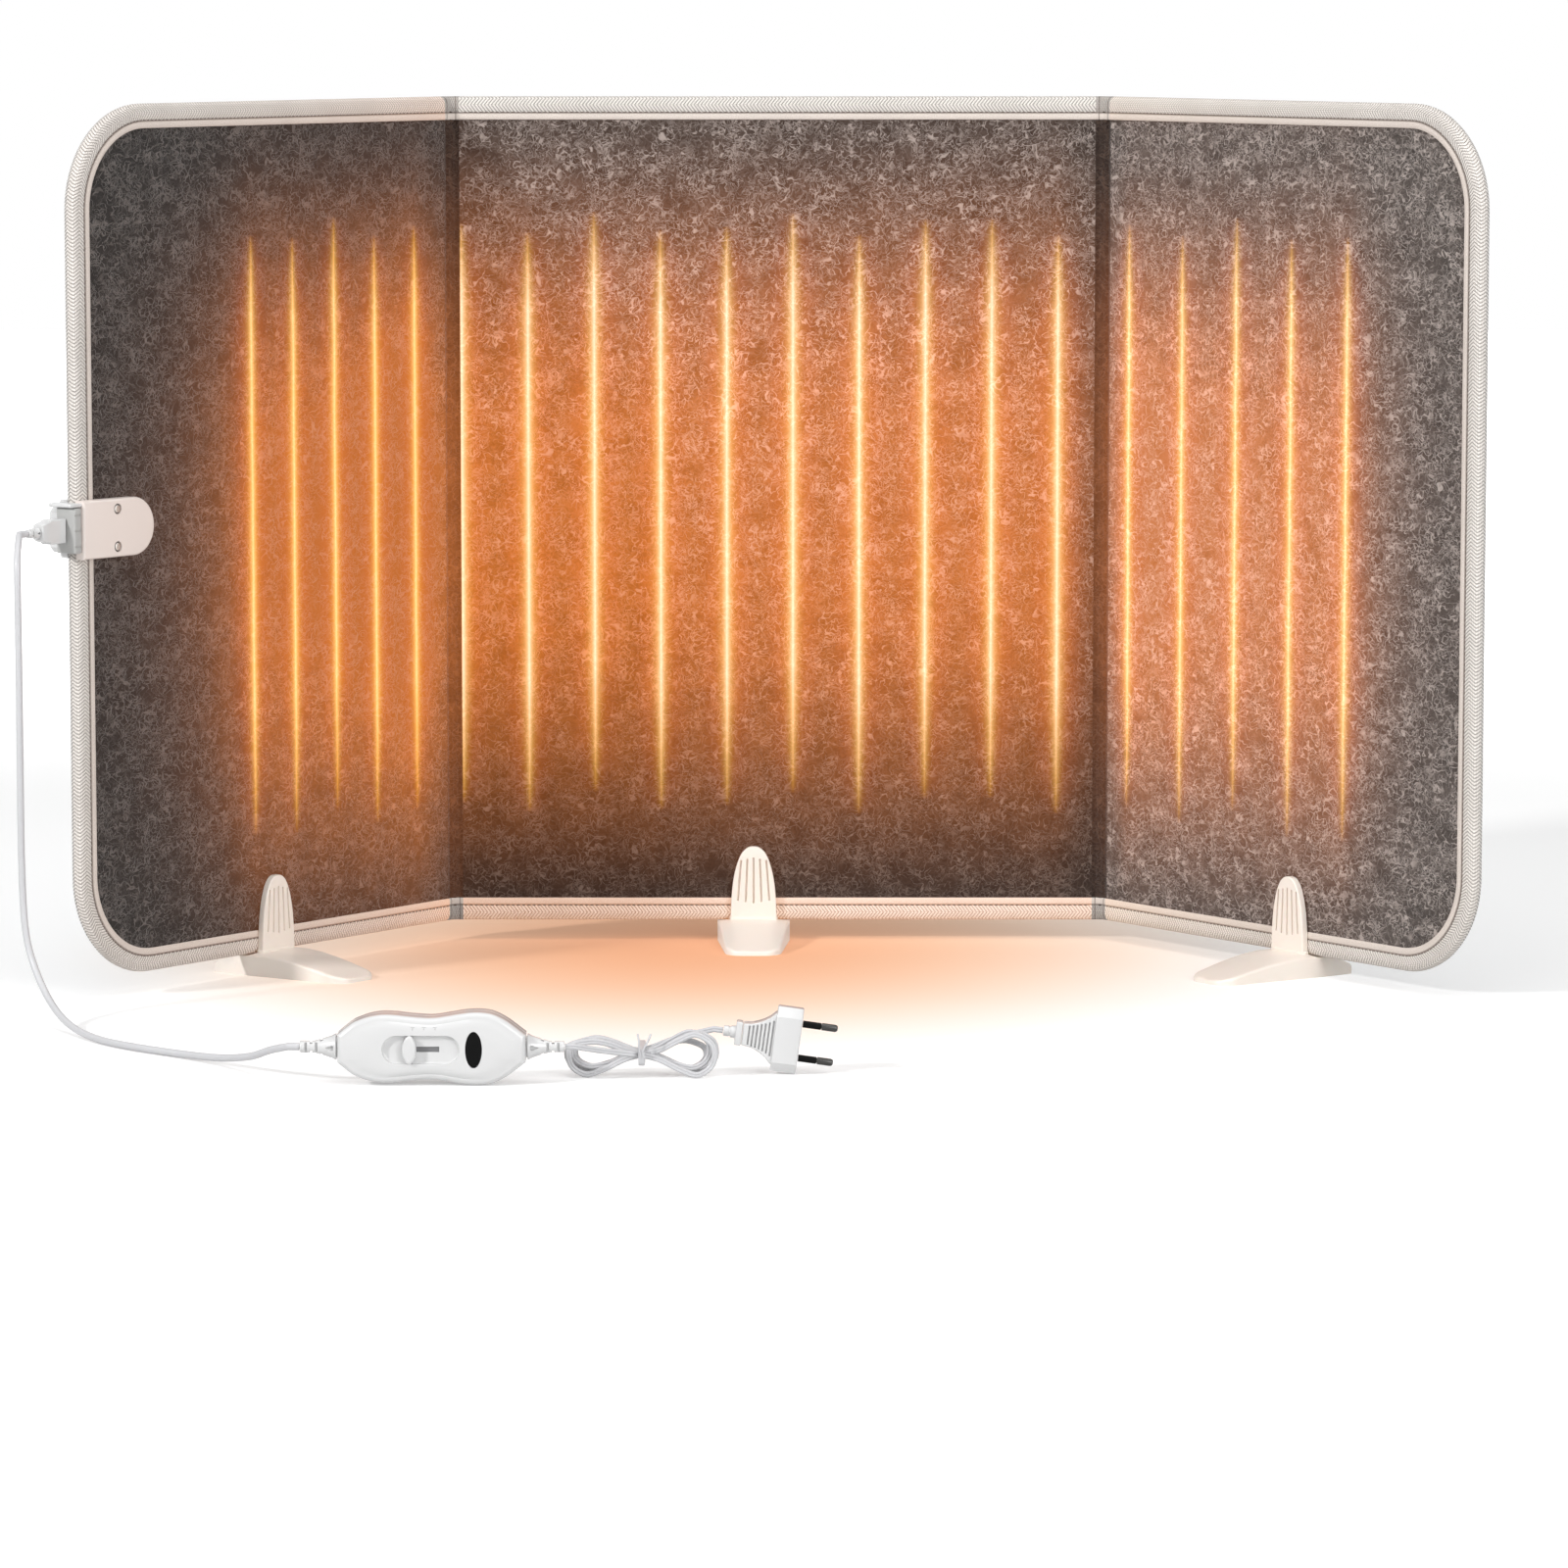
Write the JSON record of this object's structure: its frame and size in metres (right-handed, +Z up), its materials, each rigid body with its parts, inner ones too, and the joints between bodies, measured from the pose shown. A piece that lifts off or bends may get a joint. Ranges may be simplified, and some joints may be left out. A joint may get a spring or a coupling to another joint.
{
  "type": "under desk heater panel",
  "caption": "Folding felt radiant heater that stands open round the feet on clip-on feet, with a plug-in lead, an inline heat controller and a two-pin mains plug.",
  "frame": {"origin": "on the floor plane under the middle of the centre panel, midway between the two folds, on the underside of the centre foot", "axes": "+X runs along the centre panel to the right as seen from the warm side, +Y points to the back, +Z is up"},
  "size_m": [0.8316, 0.5835, 0.512],
  "materials": {
    "front_felt": "mottled dark warm grey felt",
    "back_felt": "light blue grey felt",
    "fold_felt": "dark felt, pressed at the fold",
    "core_board": "plain stiff board",
    "heating_wire": "glowing carbon wire",
    "binding_tape": "cream herringbone tape with one row of stitching",
    "foot_plastic": "satin cream",
    "connector_plastic": "satin cream",
    "socket_plastic": "fine grey",
    "screw_steel": "plain screw heads",
    "cord_jacket": "smooth white jacket",
    "controller_plastic": "glossy white",
    "indicator_lens": "glossy black",
    "circuit_board": "green board",
    "switch_plastic": "black",
    "pin_metal": "nickel plated",
    "sleeve_plastic": "black"
  },
  "bodies": {
    "root": {"center_front_felt": "front_felt", "center_core_board": "core_board", "center_heating_wire": "heating_wire", "center_back_felt": "back_felt", "center_top_binding": "binding_tape", "center_bottom_binding": "binding_tape", "left_fold_felt": "fold_felt", "right_fold_felt": "fold_felt", "lead_cord": "cord_jacket", "controller_front_shell": "controller_plastic", "controller_back_shell": "controller_plastic", "indicator_lens": "indicator_lens", "circuit_board": "circuit_board", "slide_switch": "switch_plastic", "left_strain_relief": "controller_plastic", "right_strain_relief": "controller_plastic", "mains_cord": "cord_jacket", "hank_tie": "binding_tape", "mains_plug_body": "controller_plastic", "mains_plug_collar": "controller_plastic", "upper_mains_pin": "pin_metal", "lower_mains_pin": "pin_metal", "upper_pin_sleeve": "sleeve_plastic", "lower_pin_sleeve": "sleeve_plastic"},
    "left_wing": {"left_front_felt": "front_felt", "left_core_board": "core_board", "left_heating_wire": "heating_wire", "left_back_felt": "back_felt", "left_binding": "binding_tape", "connector_front_shell": "connector_plastic", "connector_back_shell": "connector_plastic", "connector_socket": "socket_plastic", "connector_upper_screw": "screw_steel", "connector_lower_screw": "screw_steel"},
    "right_wing": {"right_front_felt": "front_felt", "right_core_board": "core_board", "right_heating_wire": "heating_wire", "right_back_felt": "back_felt", "right_binding": "binding_tape"},
    "left_clip_foot": {"left_foot": "foot_plastic"},
    "center_clip_foot": {"center_foot": "foot_plastic"},
    "right_clip_foot": {"right_foot": "foot_plastic"},
    "lead_plug": {"lead_plug_body": "controller_plastic", "lead_plug_relief": "controller_plastic"},
    "slider": {"slider_knob": "controller_plastic"}
  },
  "joints": [
    {"name": "left_fold", "type": "hinge", "parent": "root", "child": "left_wing", "pos_m": [-0.1965, -0.00455, 0.262], "axis": [0, 0, 1], "range_deg": [-52.5, 65], "deforming": ["left_fold_felt", "lead_cord"]},
    {"name": "right_fold", "type": "hinge", "parent": "root", "child": "right_wing", "pos_m": [0.1965, -0.00455, 0.262], "axis": [0, 0, -1], "range_deg": [-52.5, 65], "deforming": ["right_fold_felt"]},
    {"name": "left_foot_pull", "type": "slide", "parent": "left_wing", "child": "left_clip_foot", "axis": [0, 0, -1], "range_m": [0, 0.06]},
    {"name": "center_foot_pull", "type": "slide", "parent": "root", "child": "center_clip_foot", "axis": [0, 0, -1], "range_m": [0, 0.06]},
    {"name": "right_foot_pull", "type": "slide", "parent": "right_wing", "child": "right_clip_foot", "axis": [0, 0, -1], "range_m": [0, 0.06]},
    {"name": "lead_plug_pull", "type": "slide", "parent": "left_wing", "child": "lead_plug", "axis": [-0.6088, -0.7934, 0], "range_m": [0, 0.012], "deforming": ["lead_cord"]},
    {"name": "heat_slider", "type": "slide", "parent": "root", "child": "slider", "axis": [1, 0, 0], "range_m": [0, 0.0115]}
  ]
}
